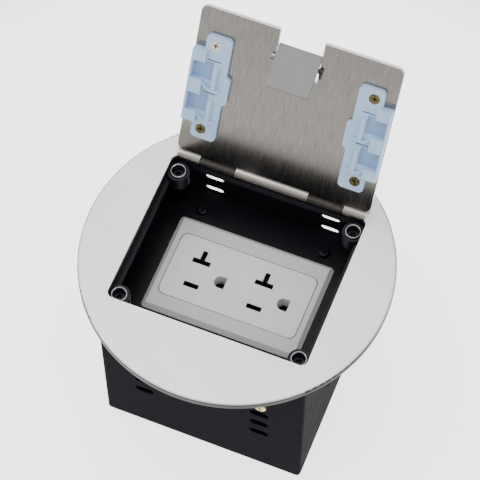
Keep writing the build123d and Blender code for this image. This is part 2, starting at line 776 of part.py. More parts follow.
# Terminal screws: brass on the line side, plated on the neutral side, green on the earth tab
line_leaf = outlet_y - blade_offset - blade_gap / 2 - contact_sheet
neutral_leaf = outlet_y + blade_offset + blade_gap / 2 + contact_sheet
with BuildPart() as line_terminal_screws:
    with BuildSketch(Plane.XZ.offset(-housing_front)):
        with Locations(terminal_places):
            Circle(terminal_head_radius)
    extrude(amount=terminal_head_height)
    with BuildSketch(Plane.XZ.offset(-housing_front)):
        with Locations(terminal_places):
            Circle(terminal_radius)
    extrude(amount=housing_front - line_leaf + terminal_gap)
    with BuildSketch(Plane.XZ.offset(-housing_front + terminal_head_height)):
        with Locations(terminal_places):
            Rectangle(2 * terminal_head_radius, slit_width)
    extrude(amount=-terminal_head_height / 2, mode=Mode.SUBTRACT)
save(line_terminal_screws, "line_terminal_screws")

with BuildPart() as neutral_terminal_screws:
    with BuildSketch(Plane.XZ.offset(-housing_back)):
        with Locations(terminal_places):
            Circle(terminal_head_radius)
    extrude(amount=-terminal_head_height)
    with BuildSketch(Plane.XZ.offset(-housing_back)):
        with Locations(terminal_places):
            Circle(terminal_radius)
    extrude(amount=housing_back - neutral_leaf - terminal_gap)
    with BuildSketch(Plane.XZ.offset(-housing_back - terminal_head_height)):
        with Locations(terminal_places):
            Rectangle(2 * terminal_head_radius, slit_width)
    extrude(amount=terminal_head_height / 2, mode=Mode.SUBTRACT)
save(neutral_terminal_screws, "neutral_terminal_screws")

ground_screw_z = contact_base + contact_sheet - ground_tab_height / 2
ground_face = ground_tab_x + ground_tab_sheet
with BuildPart() as ground_terminal_screw:
    with BuildSketch(Plane.YZ.offset(ground_face)):
        with Locations((outlet_y, ground_screw_z)):
            RegularPolygon(terminal_head_radius, 6)
    extrude(amount=terminal_head_height)
    with BuildSketch(Plane.YZ.offset(ground_face)):
        with Locations((outlet_y, ground_screw_z)):
            Circle(terminal_radius)
    extrude(amount=-ground_tab_sheet)
save(ground_terminal_screw, "ground_terminal_screw")

# Earth screw: a brass pan-head screw through the front wall, held by a nut inside
earth_plane = Plane.XZ.offset(box_width / 2)
with BuildPart() as earth_screw:
    with BuildSketch(earth_plane):
        with Locations((earth_x, flange_top - earth_depth)):
            Circle(earth_head_radius)
    extrude(amount=earth_head_height)
    fillet(earth_screw.edges().group_by(Axis.Y)[0], earth_head_height / 2)
    with BuildSketch(earth_plane):
        with Locations((earth_x, flange_top - earth_depth)):
            Circle(earth_radius)
    extrude(amount=-earth_screw_length)
    with BuildSketch(earth_plane.offset(earth_head_height)):
        with Locations((earth_x, flange_top - earth_depth)):
            Rectangle(earth_head_radius, face_edge)
            Rectangle(face_edge, earth_head_radius)
    extrude(amount=-earth_head_height / 2, mode=Mode.SUBTRACT)
save(earth_screw, "earth_screw")

with BuildPart() as earth_nut:
    with BuildSketch(earth_plane.offset(-box_wall)):
        with Locations((earth_x, flange_top - earth_depth)):
            RegularPolygon(earth_nut_radius, 6, major_radius=False)
            Circle(earth_radius + seat_fit, mode=Mode.SUBTRACT)
    extrude(amount=-earth_nut_height)
save(earth_nut, "earth_nut")

# Hinge pin: one straight pin through the three flange barrels and the two lid barrels
with BuildPart() as hinge_pin:
    with BuildSketch(Plane.YZ.offset(-barrel_half_span + pin_end_inset)):
        with Locations((hinge_y, hinge_z)):
            Circle(pin_radius)
    extrude(amount=2 * (barrel_half_span - pin_end_inset))
save(hinge_pin, "hinge_pin")

# Lid: a flat plate with two rolled hinge tongues, and a notch with two lugs for the cable flap
lid_plane = leaf_plane((0, hinge_y, hinge_z), lid_open_angle)
tongue_width = notch_span - 2 * barrel_side_gap
notch_depth = flap_length + flap_gap
lug_span = notch_width + 2 * flap_lug_width
pivot_line = Location(lid_plane.from_local_coords(Vector(0, flap_pivot, lid_inner + flap_pivot_lift)), (0, 90, 0))
clip_screw_x = lid_side - clip_screw_side_inset
clip_screw_rows = (clip_start + clip_screw_inset, clip_start + clip_length - clip_screw_inset)
clip_screw_places = [(x, lid_setback + y) for x in (-clip_screw_x, clip_screw_x) for y in clip_screw_rows]
with BuildPart() as lid_plate:
    with BuildSketch(lid_plane.offset(-barrel_radius)):
        with Locations((0, lid_setback + lid_length / 2)):
            RectangleRounded(lid_width, lid_length, lid_corner)
        with Locations((-notch_middle, lid_setback), (notch_middle, lid_setback)):
            Rectangle(tongue_width, 2 * lid_setback)
        with Locations((0, lid_end)):
            Rectangle(notch_width, 2 * notch_depth, mode=Mode.SUBTRACT)
    extrude(amount=lid_thickness)
    with Locations(pivot_line * Pos(0, 0, -(lug_span - flap_lug_width) / 2)):
        Cylinder(flap_lug_radius, flap_lug_width)
    with Locations(pivot_line * Pos(0, 0, (lug_span - flap_lug_width) / 2)):
        Cylinder(flap_lug_radius, flap_lug_width)
    for middle in (-notch_middle, notch_middle):
        with BuildSketch(Plane.YZ.offset(middle - tongue_width / 2)):
            with Locations((hinge_y, hinge_z)):
                Circle(barrel_radius)
        extrude(amount=tongue_width)
    with BuildSketch(Plane.YZ.offset(-barrel_half_span)):
        with Locations((hinge_y, hinge_z)):
            Circle(pin_radius + pin_fit)
    extrude(amount=2 * barrel_half_span, mode=Mode.SUBTRACT)
    with Locations(pivot_line):
        Cylinder(flap_pin_radius + flap_pin_fit, lug_span, mode=Mode.SUBTRACT)
    with BuildSketch(lid_plane.offset(lid_inner)):
        with Locations(clip_screw_places):
            Circle(clip_screw_radius + seat_fit)
    extrude(amount=-clip_thread, mode=Mode.SUBTRACT)
save(lid_plate, "lid_plate")

# Cable flap and its pin: a plate with a bar on its inner face that turns on a thin pin in the lid's lugs
flap_plane = leaf_plane(pivot_line.position, lid_open_angle - flap_open_angle)
with BuildPart() as cable_flap:
    with BuildSketch(flap_plane.offset(-flap_pivot_lift - lid_thickness)):
        with Locations((0, flap_pivot_inset - flap_length / 2)):
            RectangleRounded(notch_width - 2 * flap_gap, flap_length, flap_corner)
    extrude(amount=lid_thickness)
    with Locations(pivot_line):
        Cylinder(flap_bar_radius, notch_width - 2 * flap_gap)
    with Locations(pivot_line):
        Cylinder(flap_pin_radius + flap_pin_fit, notch_width, mode=Mode.SUBTRACT)
save(cable_flap, "cable_flap")

with BuildPart() as flap_pin:
    with Locations(pivot_line):
        Cylinder(flap_pin_radius, lug_span - 2 * flap_pin_fit)
save(flap_pin, "flap_pin")

# Lid moulding: a screwed strip with a side wing, pockets, round bars, curved ribs and a snap nib
clip_face = lid_plane.offset(lid_inner)
clip_axis = Axis(clip_face.origin, clip_face.z_dir)
clip_sink = clip_head_radius - clip_screw_radius
clip_inner_x = lid_side - clip_inner_inset
clip_outer_x = lid_side - clip_outer_inset
clip_middle = (clip_inner_x + clip_outer_x) / 2
clip_centre = lid_setback + clip_start + clip_length / 2
wing_outer_x = lid_side - clip_side_gap
wing_inner_x = lid_side - wing_inner_inset
bar_x = lid_side - bar_inset
nib_centre = lid_setback + wing_start + wing_length / 2
with BuildPart() as lid_clip_left:
    with BuildSketch(clip_face):
        with Locations((-clip_middle, clip_centre)):
            RectangleRounded(clip_outer_x - clip_inner_x, clip_length, clip_corner)
        with BuildLine():
            Polyline(
                (-clip_inner_x - nib_ramp, nib_centre - nib_length / 2),
                (-clip_inner_x, nib_centre - nib_length / 2),
                (-clip_inner_x + nib_reach, nib_centre - nib_length / 2 + nib_ramp),
                (-clip_inner_x + nib_reach, nib_centre + nib_length / 2 - nib_ramp),
                (-clip_inner_x, nib_centre + nib_length / 2),
                (-clip_inner_x - nib_ramp, nib_centre + nib_length / 2),
                close=True,
            )
        make_face()
    extrude(amount=clip_base)
    with BuildSketch(clip_face):
        with Locations((-(wing_outer_x + wing_inner_x) / 2, lid_setback + wing_start + wing_length / 2)):
            Rectangle(wing_outer_x - wing_inner_x, wing_length)
    extrude(amount=wing_height)
    with BuildSketch(clip_face.offset(pocket_floor)):
        for row in (pocket_first, pocket_first + clip_pitch):
            with Locations((pocket_inset - lid_side, lid_setback + row)):
                Rectangle(pocket_length, pocket_width)
    extrude(amount=wing_height, mode=Mode.SUBTRACT)
    with BuildSketch(clip_face.offset(clip_base)):
        for row in (bar_first, bar_first + clip_pitch):
            with Locations((-bar_x, lid_setback + row)):
                SlotOverall(bar_length, bar_width, rotation=90)
    extrude(amount=bar_height)
    fillet(lid_clip_left.edges(Select.LAST).group_by(clip_axis)[-1], bar_round)
    with BuildSketch(clip_face.offset(clip_base)):
        for row in (rib_first, rib_first + clip_pitch):
            with BuildLine():
                ThreePointArc(
                    (rib_outer_inset - lid_side, lid_setback + row + rib_sag),
                    (-bar_x, lid_setback + row),
                    (rib_inner_inset - lid_side, lid_setback + row + rib_sag / 4),
                )
            trace(line_width=rib_thickness)
    extrude(amount=rib_height - clip_base)
    with BuildSketch(clip_face):
        for row in (slit_first, slit_first + clip_pitch):
            with Locations((slit_inset - lid_side, lid_setback + row)):
                Rectangle(slit_length, slit_width)
    extrude(amount=wing_height, mode=Mode.SUBTRACT)
    with BuildSketch(clip_face):
        with Locations(clip_screw_places[:2]):
            Circle(clip_screw_radius + seat_fit)
    extrude(amount=clip_base, mode=Mode.SUBTRACT)
    with BuildSketch(clip_face.offset(clip_base)):
        with Locations(clip_screw_places[:2]):
            Circle(clip_head_radius + seat_fit)
    extrude(amount=-clip_sink, taper=45, mode=Mode.SUBTRACT)
save(lid_clip_left, "lid_clip_left")

with BuildPart() as lid_clip_right:
    add(lid_clip_left.part)
    mirror(about=Plane.YZ, mode=Mode.REPLACE)
save(lid_clip_right, "lid_clip_right")

# Lid clip screws: four countersunk screws with crossed slots into blind holes in the lid
with BuildPart() as lid_clip_screws:
    with BuildSketch(clip_face.offset(clip_base)):
        with Locations(clip_screw_places):
            Circle(clip_head_radius)
    extrude(amount=-clip_sink, taper=45)
    with BuildSketch(clip_face.offset(clip_base)):
        with Locations(clip_screw_places):
            Circle(clip_screw_radius)
    extrude(amount=-clip_base - clip_thread + seat_fit)
    with BuildSketch(clip_face.offset(clip_base)):
        with Locations(clip_screw_places):
            Rectangle(clip_head_radius, face_edge)
            Rectangle(face_edge, clip_head_radius)
    extrude(amount=-clip_sink / 2, mode=Mode.SUBTRACT)
save(lid_clip_screws, "lid_clip_screws")
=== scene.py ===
import json
from math import radians

import bmesh
import bpy
from mathutils import Matrix, Vector

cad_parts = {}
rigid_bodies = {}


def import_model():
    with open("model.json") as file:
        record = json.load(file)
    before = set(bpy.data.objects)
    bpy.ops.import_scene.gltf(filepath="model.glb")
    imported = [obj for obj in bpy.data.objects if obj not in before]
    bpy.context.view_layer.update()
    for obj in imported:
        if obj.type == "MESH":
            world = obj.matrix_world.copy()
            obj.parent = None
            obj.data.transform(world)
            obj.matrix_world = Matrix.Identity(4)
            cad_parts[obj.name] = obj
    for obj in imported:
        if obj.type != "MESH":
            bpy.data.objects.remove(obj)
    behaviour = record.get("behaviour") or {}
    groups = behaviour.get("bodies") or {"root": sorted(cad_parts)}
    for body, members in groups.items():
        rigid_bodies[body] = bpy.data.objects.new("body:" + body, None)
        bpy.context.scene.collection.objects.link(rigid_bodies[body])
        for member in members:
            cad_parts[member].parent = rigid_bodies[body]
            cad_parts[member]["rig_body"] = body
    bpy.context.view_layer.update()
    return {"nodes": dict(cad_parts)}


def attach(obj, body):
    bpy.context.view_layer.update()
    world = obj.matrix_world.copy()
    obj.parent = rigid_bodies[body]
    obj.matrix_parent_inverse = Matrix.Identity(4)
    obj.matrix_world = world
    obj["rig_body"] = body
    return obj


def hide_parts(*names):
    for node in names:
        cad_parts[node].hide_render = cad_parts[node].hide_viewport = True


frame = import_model()

# Back box: folded from 1.2 mm sheet steel, punched with vents and knock-outs, then powder coated
# in charcoal. The coat leaves a fine orange-peel skin with a low sheen and softens every fold.


def linear(code):
    """An sRGB hex colour as linear red, green, blue and alpha."""
    parts = [int(code[i : i + 2], 16) / 255 for i in (0, 2, 4)]
    return [c / 12.92 if c <= 0.04045 else ((c + 0.055) / 1.055) ** 2.4 for c in parts] + [1.0]


def cells(size_mm):
    """The noise scale that gives cells of this size in millimetres."""
    return 1000.0 / size_mm


def add(tree, kind, inputs=(), **settings):
    """One node with its settings, and with a value or another node's output for each input."""
    node = tree.nodes.new(kind)
    for name, value in settings.items():
        setattr(node, name, value)
    for socket, value in dict(inputs).items():
        if isinstance(value, bpy.types.NodeSocket):
            tree.links.new(value, node.inputs[socket])
        else:
            node.inputs[socket].default_value = value
    return node


def finish(name, **values):
    """A new material: its tree, its shader with these values, and the object's own coordinates."""
    material = bpy.data.materials.new(name)
    material.use_nodes = True
    tree = material.node_tree
    shader = tree.nodes["Principled BSDF"]
    for socket, value in values.items():
        shader.inputs[socket.replace("_", " ")].default_value = value
    place = add(tree, "ShaderNodeTexCoord").outputs["Object"]
    return material, tree, shader, place


def mottle(tree, place, size_mm, light, dark, detail=3.0, low=0.3, high=0.7):
    """A noise of this cell size, turned into a colour between a light and a dark hex value."""
    noise = add(tree, "ShaderNodeTexNoise", {"Vector": place, "Scale": cells(size_mm), "Detail": detail})
    ramp = add(tree, "ShaderNodeValToRGB", {"Fac": noise.outputs["Fac"]})
    ramp.color_ramp.elements[0].position = low
    ramp.color_ramp.elements[0].color = linear(dark)
    ramp.color_ramp.elements[1].position = high
    ramp.color_ramp.elements[1].color = linear(light)
    return ramp.outputs["Color"]


def spread(tree, place, size_mm, low, high, detail=2.0):
    """A noise of this cell size, turned into a number from low to high."""
    noise = add(tree, "ShaderNodeTexNoise", {"Vector": place, "Scale": cells(size_mm), "Detail": detail})
    span = {"Value": noise.outputs["Fac"], "From Min": 0.3, "From Max": 0.7, "To Min": low, "To Max": high}
    return add(tree, "ShaderNodeMapRange", span).outputs["Result"]


def relief(tree, shader, height, depth_mm, strength=1.0):
    """A bump of this depth in millimetres on the shader's normal."""
    bump = add(tree, "ShaderNodeBump", {"Height": height, "Distance": depth_mm / 1000, "Strength": strength})
    tree.links.new(bump.outputs["Normal"], shader.inputs["Normal"])


def dress(node, material, edge_mm=0.0, fold=35, flatten=True, others=()):
    """A welded copy of a node's mesh with its sharp edges eased, which stands for the node.

    others holds pairs of a finish and a test of a face's centre in mm and its normal: a face takes the
    last finish whose test it passes.
    """
    mesh = frame["nodes"][node].data.copy()
    mesh.name = node + "_shell"
    shell = bmesh.new()
    shell.from_mesh(mesh)
    bmesh.ops.remove_doubles(shell, verts=shell.verts, dist=2e-6)
    if flatten:
        bmesh.ops.dissolve_limit(shell, angle_limit=radians(0.4), verts=shell.verts, edges=shell.edges)
    if edge_mm:
        folds = [e for e in shell.edges if e.is_manifold and e.calc_face_angle(0) > radians(fold)]
        bmesh.ops.bevel(
            shell,
            geom=folds,
            offset=edge_mm / 1000,
            affect="EDGES",
            segments=2,
            profile=0.5,
            material=-1,
            clamp_overlap=True,
        )
    shell.to_mesh(mesh)
    shell.free()
    mesh.materials.clear()
    mesh.materials.append(material)
    for index, (finish_there, test) in enumerate(others, 1):
        mesh.materials.append(finish_there)
        for face in mesh.polygons:
            if test(face.center * 1000, face.normal):
                face.material_index = index
    mesh.shade_smooth()
    mesh.set_sharp_from_angle(angle=radians(40))
    piece = bpy.data.objects.new(node + "_shell", mesh)
    bpy.context.scene.collection.objects.link(piece)
    normals = piece.modifiers.new("even_normals", "WEIGHTED_NORMAL")
    normals.keep_sharp = True
    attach(piece, frame["nodes"][node]["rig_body"])
    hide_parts(node)
    return piece


def coat(nodes, material):
    """Give hidden CAD pieces their finish as they stand."""
    for name in nodes:
        mesh = frame["nodes"][name].data
        mesh.materials.clear()
        mesh.materials.append(material)


powder_coat, tree, shader, place = finish(
    "charcoal_powder_coat", Roughness=0.55, IOR=1.5, Specular_IOR_Level=0.009
)
tree.links.new(mottle(tree, place, 9.0, "101116", "0e0f13"), shader.inputs["Base Color"])
tree.links.new(spread(tree, place, 4.0, 0.56, 0.64), shader.inputs["Roughness"])
relief(tree, shader, spread(tree, place, 0.7, 0.0, 1.0), 0.01, 0.4)
dress("back_box", powder_coat, edge_mm=0.35)
dress("tray_brackets", powder_coat, edge_mm=0.15)

# Earth screw and nut: turned from free-cutting brass, screwed through the front wall under the
# flange. Bright yellow metal with faint turning marks that has dulled a little.
turned_brass, tree, shader, place = finish("turned_brass", Metallic=1.0, Roughness=0.3)
tree.links.new(mottle(tree, place, 1.2, "c3b27a", "8c8046"), shader.inputs["Base Color"])
tree.links.new(spread(tree, place, 0.8, 0.24, 0.42), shader.inputs["Roughness"])
relief(tree, shader, spread(tree, place, 0.3, 0.0, 1.0), 0.01, 0.4)
dress("earth_screw", turned_brass, edge_mm=0.08)
coat(["earth_nut", "line_terminal_screws"], turned_brass)

# Socket tray: folded sheet steel under semi-gloss black paint. The paint mirrors the vents
# softly and shows a faint orange peel.
black_paint, tree, shader, place = finish(
    "semi_gloss_black_paint", Roughness=0.32, IOR=1.5, Specular_IOR_Level=0.12
)
tree.links.new(mottle(tree, place, 9.0, "0f1014", "0b0c10"), shader.inputs["Base Color"])
tree.links.new(spread(tree, place, 5.0, 0.28, 0.36), shader.inputs["Roughness"])
relief(tree, shader, spread(tree, place, 1.6, 0.0, 1.0), 0.006, 0.4)
dress("socket_tray", black_paint, edge_mm=0.2)

# Tray screws, press nuts and corner screws: small steel parts with a black oxide skin, oily and
# a little worn on their raised edges.
black_oxide, tree, shader, place = finish("black_oxide_steel", Metallic=1.0, Roughness=0.35)
tree.links.new(mottle(tree, place, 1.0, "2e3036", "16171b"), shader.inputs["Base Color"])
tree.links.new(spread(tree, place, 0.8, 0.28, 0.46), shader.inputs["Roughness"])
for node in ("tray_screws", "tray_nuts", "corner_screws"):
    dress(node, black_oxide, edge_mm=0.08)

# Receptacle housing and tamper shutters: moulded from dark glass-filled nylon, which looks matt and
# slightly uneven. The shutters slide behind the slots, and the rest is hidden below the tray.
dark_nylon, tree, shader, place = finish(
    "dark_moulded_nylon", Roughness=0.55, IOR=1.53, Specular_IOR_Level=0.2
)
tree.links.new(mottle(tree, place, 4.0, "232428", "1a1b1e"), shader.inputs["Base Color"])
tree.links.new(spread(tree, place, 2.0, 0.48, 0.62), shader.inputs["Roughness"])
relief(tree, shader, spread(tree, place, 0.5, 0.0, 1.0), 0.02, 0.4)
coat(["receptacle_housing", "tamper_shutter_left", "tamper_shutter_right"], dark_nylon)

# Contacts: strips of rolled brass, folded into pairs of leaves behind the slots. Rolling leaves a
# warm metal with soft bands of light, and a little of it shows in the earth holes.
contact_copper, tree, shader, place = finish("rolled_contact_brass", Metallic=1.0, Roughness=0.35)
tree.links.new(mottle(tree, place, 2.0, "c08c58", "9a6a3c"), shader.inputs["Base Color"])
tree.links.new(spread(tree, place, 1.0, 0.3, 0.45), shader.inputs["Roughness"])
coat(["line_contacts", "neutral_contacts", "ground_contacts"], contact_copper)

# Yoke and screws: punched and turned steel with a zinc plate, which breaks each highlight into pale
# flakes. They clamp the face and the housing together under the tray.
zinc_plate, tree, shader, place = finish("zinc_plated_steel", Metallic=1.0, Roughness=0.35)
tree.links.new(mottle(tree, place, 1.5, "cfcec6", "a6a59c"), shader.inputs["Base Color"])
tree.links.new(spread(tree, place, 1.0, 0.28, 0.44), shader.inputs["Roughness"])
coat(["mounting_yoke", "device_screws", "housing_screws", "neutral_terminal_screws"], zinc_plate)

# Earth terminal screw: steel under a transparent green dye, so that the metal shines through the
# colour. It stands at the end of the housing.
green_dye, tree, shader, place = finish("green_dyed_steel", Metallic=0.7, Roughness=0.4)
tree.links.new(mottle(tree, place, 1.5, "3a8c52", "27693a"), shader.inputs["Base Color"])
tree.links.new(spread(tree, place, 1.0, 0.34, 0.48), shader.inputs["Roughness"])
coat(["ground_terminal_screw"], green_dye)

# Receptacle face: pale grey thermoplastic, moulded in one piece with its slots. The moulded skin is
# smooth and satin, with a very light ripple.
face_plastic, tree, shader, place = finish("moulded_face_plastic", Roughness=0.35, IOR=1.5)
tree.links.new(mottle(tree, place, 9.0, "d3d3d2", "cbcbca"), shader.inputs["Base Color"])
tree.links.new(spread(tree, place, 4.0, 0.32, 0.42), shader.inputs["Roughness"])
relief(tree, shader, spread(tree, place, 1.5, 0.0, 1.0), 0.006, 0.4)

# Inside the blade slots the same plastic is painted almost black, as painted shade.
slot_shade, tree, shader, place = finish("shaded_slot_plastic", Roughness=0.8, Specular_IOR_Level=0.05)
tree.links.new(mottle(tree, place, 1.0, "0d0d0e", "070708"), shader.inputs["Base Color"])
SLOT_TOP_MM, STRAIGHT_Y_MM, TEE_Y_MM = 80.85, -6.85, 8.2


def in_blade_slot(at, normal):
    """Whether this face is a wall of a straight slot or a T slot, below its lead-in."""
    straight = abs(at.y - STRAIGHT_Y_MM) < 1.3
    tee = abs(at.y - TEE_Y_MM) < 3.6
    return at.z < SLOT_TOP_MM and abs(normal.z) < 0.5 and abs(at.x) < 26.0 and (straight or tee)


dress("receptacle_face", face_plastic, edge_mm=0.1, others=((slot_shade, in_blade_slot),))

# Cover plate: the bevelled surround, moulded from light grey plastic with a fine matt texture
# from the mould, snapped over the receptacle with four hooks.
plate_plastic, tree, shader, place = finish("textured_grey_plastic", Roughness=0.5, IOR=1.5)
tree.links.new(mottle(tree, place, 1.0, "c2c2c2", "b9b9b9"), shader.inputs["Base Color"])
tree.links.new(spread(tree, place, 2.0, 0.45, 0.58), shader.inputs["Roughness"])
relief(tree, shader, spread(tree, place, 0.45, 0.0, 1.0, detail=4.0), 0.02, 0.6)
dress("cover_plate", plate_plastic, edge_mm=0.15, flatten=False)

# Inner frame: black moulded plastic under the flange, with the collar round the well, the side
# ledges and the four bosses. A fine grain from the mould gives it a low, soft sheen.
frame_plastic, tree, shader, place = finish(
    "black_moulded_frame", Roughness=0.4, IOR=1.5, Specular_IOR_Level=0.18
)
tree.links.new(mottle(tree, place, 6.0, "15161c", "111217"), shader.inputs["Base Color"])
tree.links.new(spread(tree, place, 2.5, 0.36, 0.44), shader.inputs["Roughness"])
relief(tree, shader, spread(tree, place, 0.6, 0.0, 1.0), 0.006, 0.4)
dress("inner_frame", frame_plastic, edge_mm=0.2)

# Corner sleeves: turned steel sleeves with bright nickel plating, pressed into the bosses.
bright_nickel, tree, shader, place = finish("bright_nickel_plate", Metallic=1.0, Roughness=0.18)
tree.links.new(mottle(tree, place, 1.5, "8c8c8e", "6c6d70"), shader.inputs["Base Color"])
tree.links.new(spread(tree, place, 1.0, 0.12, 0.26), shader.inputs["Roughness"])
dress("corner_sleeves", bright_nickel, edge_mm=0.12)

# Flange gasket: a soft black foam ring, die cut, that seals the flange to the floor.
seal_foam, tree, shader, place = finish("closed_cell_foam", Roughness=0.85, IOR=1.45)
tree.links.new(mottle(tree, place, 0.8, "242426", "161618"), shader.inputs["Base Color"])
relief(tree, shader, spread(tree, place, 0.5, 0.0, 1.0), 0.08, 0.7)
coat(["flange_gasket"], seal_foam)

# Trim flange: a pressed disc of stainless steel with a rolled rim and three rolled barrels. The
# satin face is blasted and lightly brushed along the hinge, so it glows evenly.
satin_steel, tree, shader, place = finish("satin_stainless_flange", Metallic=1.0, Roughness=0.42)
satin = mottle(tree, place, 1.2, "e3e1df", "dedcda")
tree.links.new(spread(tree, place, 14.0, 0.4, 0.46), shader.inputs["Roughness"])
relief(tree, shader, spread(tree, place, 0.5, 0.0, 1.0), 0.002, 0.4)

# The rolled rim is painted dark from the start of its curve down: painted shade on its turned-away face.
CURVE_FOOT_M, CURVE_START_M = 0.1072, 0.1079
RING_INNER_M, RING_OUTER_M = 0.069, 0.0692
height = add(tree, "ShaderNodeSeparateXYZ", {"Vector": place}).outputs["Z"]
curve = {"Value": height, "From Min": CURVE_FOOT_M, "From Max": CURVE_START_M}
above = add(tree, "ShaderNodeMapRange", curve, interpolation_type="SMOOTHSTEP").outputs["Result"]
across = add(tree, "ShaderNodeVectorMath", {0: place, 1: (1.0, 1.0, 0.0)}, operation="MULTIPLY").outputs["Vector"]
radius = add(tree, "ShaderNodeVectorMath", {"Vector": across}, operation="LENGTH").outputs["Value"]
ring = {"Value": radius, "From Min": RING_INNER_M, "From Max": RING_OUTER_M, "To Min": 1.0, "To Max": 0.0}
inside = add(tree, "ShaderNodeMapRange", ring).outputs["Result"]
bright = add(tree, "ShaderNodeMath", {0: above, 1: inside}, operation="MAXIMUM").outputs["Value"]
shade = add(tree, "ShaderNodeMix", {0: bright, 6: linear("1f1f1e"), 7: satin}, data_type="RGBA")
tree.links.new(shade.outputs[2], shader.inputs["Base Color"])

# The rolled barrels keep the brushed mill finish, a warmer and deeper grey than the blasted face.
rolled_barrel, tree, shader, place = finish("rolled_stainless_barrel", Metallic=1.0, Roughness=0.32)
tree.links.new(mottle(tree, place, 2.0, "807c75", "706c66"), shader.inputs["Base Color"])
tree.links.new(spread(tree, place, 2.0, 0.28, 0.38), shader.inputs["Roughness"])
HINGE_MM = Vector((0.0, 41.4, 106.1))
ROLL_REACH_MM, ROLL_SPAN_MM = 2.0, 45.5


def on_barrel(at, normal):
    """Whether this face is on a rolled barrel of the hinge."""
    return (at - HINGE_MM).yz.length < ROLL_REACH_MM and abs(at.x) < ROLL_SPAN_MM


dress("trim_flange", satin_steel, flatten=False, others=((rolled_barrel, on_barrel),))

# Hinge pin: a straight drawn steel wire, bright and slightly oily.
coat(["hinge_pin", "flap_pin"], zinc_plate)

# Lid: a flat stainless plate, brushed from hinge to front edge, with two rolled tongues. The
# brushing gives long dark and light hairlines and stretches each highlight across it.
LID_LEAN = 64.0
LID_NORMAL = Vector((0.0, -0.8988, 0.4384))
LID_UP = Vector((0.0, 0.4384, 0.8988))
brushed_steel, tree, shader, place = finish("brushed_stainless_lid", Metallic=1.0, Roughness=0.14)
lay = add(
    tree,
    "ShaderNodeMapping",
    {"Vector": place, "Rotation": (radians(LID_LEAN), 0.0, 0.0), "Scale": (1.0, 22.0, 1.0)},
    vector_type="TEXTURE",
)
brush = lay.outputs["Vector"]
tree.links.new(mottle(tree, brush, 0.35, "9b9792", "817d78", detail=6.0), shader.inputs["Base Color"])
tree.links.new(spread(tree, brush, 0.5, 0.12, 0.17), shader.inputs["Roughness"])
relief(tree, shader, spread(tree, brush, 0.3, 0.0, 1.0, detail=4.0), 0.001, 0.12)

# The lid's rolled tongues are a dull dark grey. The same dark grey on the flap's right lug, which
# stands out of the plate, is painted shade for the shadow beside the flap.
dark_tongue_and_lug_shade, tree, shader, place = finish("dark_tongue_and_painted_lug_shade", Metallic=1.0, Roughness=0.45)
tree.links.new(mottle(tree, place, 2.0, "45423e", "383532"), shader.inputs["Base Color"])
tree.links.new(spread(tree, place, 2.0, 0.4, 0.5), shader.inputs["Roughness"])

# Its cut edges are painted white, as a painted highlight: thin white lines of caught light.
painted_edge_highlight, tree, shader, place = finish("painted_edge_highlight_steel", Metallic=1.0, Roughness=0.25)
tree.links.new(mottle(tree, place, 1.5, "ffffff", "f4f4f2"), shader.inputs["Base Color"])
tree.links.new(spread(tree, place, 1.0, 0.2, 0.3), shader.inputs["Roughness"])
TONGUE_ROOM_MM, PLATE_FACE_MM = 5.5, 0.15


def on_lid_edge(at, normal):
    """Whether this face is part of the plate's cut edge, away from the rolled tongues and the lugs."""
    local = at - HINGE_MM
    on_plate = local.yz.length > TONGUE_ROOM_MM and local.dot(LID_NORMAL) < PLATE_FACE_MM
    return on_plate and abs(normal.dot(LID_NORMAL)) < 0.9


def on_roll_or_lug(at, normal):
    """Whether this face is on a rolled tongue, or on the flap's right lug, which stands out of the plate."""
    local = at - HINGE_MM
    return local.yz.length < ROLL_REACH_MM or (at.x > 0 and local.dot(LID_NORMAL) > PLATE_FACE_MM)


dress("lid_plate", brushed_steel, edge_mm=0.2, others=((painted_edge_highlight, on_lid_edge), (dark_tongue_and_lug_shade, on_roll_or_lug)))

# Cable flap: a small steel leaf in the notch of the lid, painted flat grey.
flat_grey, tree, shader, place = finish("flat_grey_paint", Roughness=0.5, IOR=1.5)
tree.links.new(mottle(tree, place, 6.0, "7b7b7b", "777777"), shader.inputs["Base Color"])
tree.links.new(spread(tree, place, 2.0, 0.46, 0.52), shader.inputs["Roughness"])
relief(tree, shader, spread(tree, place, 0.6, 0.0, 1.0), 0.003, 0.3)
dress("cable_flap", flat_grey, edge_mm=0.15)

# Lid mouldings: two handed clips of light blue nylon, screwed to the lid's inside. Thin walls
# let a little light through, and the skin is satin with faint flow marks.
blue_nylon, tree, shader, place = finish("light_blue_nylon", Roughness=0.42, IOR=1.53)
tree.links.new(mottle(tree, place, 7.0, "a9c3df", "9eb8d5"), shader.inputs["Base Color"])
tree.links.new(spread(tree, place, 3.0, 0.36, 0.48), shader.inputs["Roughness"])
shader.inputs["Subsurface Weight"].default_value = 0.1
shader.inputs["Subsurface Radius"].default_value = (0.0012, 0.0014, 0.0018)
shader.inputs["Subsurface Scale"].default_value = 1.0
relief(tree, shader, spread(tree, place, 1.2, 0.0, 1.0), 0.01, 0.5)

# The pockets' floors are painted a deeper blue, as painted shade in the hollows of the moulding.
pocket_shade_nylon, tree, shader, place = finish("blue_nylon_pocket_shade", Roughness=0.45, IOR=1.53)
tree.links.new(mottle(tree, place, 5.0, "88a3c6", "7e99bd"), shader.inputs["Base Color"])
tree.links.new(spread(tree, place, 3.0, 0.4, 0.5), shader.inputs["Roughness"])
relief(tree, shader, spread(tree, place, 1.2, 0.0, 1.0), 0.01, 0.5)
POCKET_FLOOR_MM = 1.3


def in_pocket(at, normal):
    """Whether this face is the floor of a pocket."""
    return abs((at - HINGE_MM).dot(LID_NORMAL) - POCKET_FLOOR_MM) < 0.1 and normal.dot(LID_NORMAL) > 0.9


for node in ("lid_clip_left", "lid_clip_right"):
    dress(node, blue_nylon, edge_mm=0.25, others=((pocket_shade_nylon, in_pocket),))

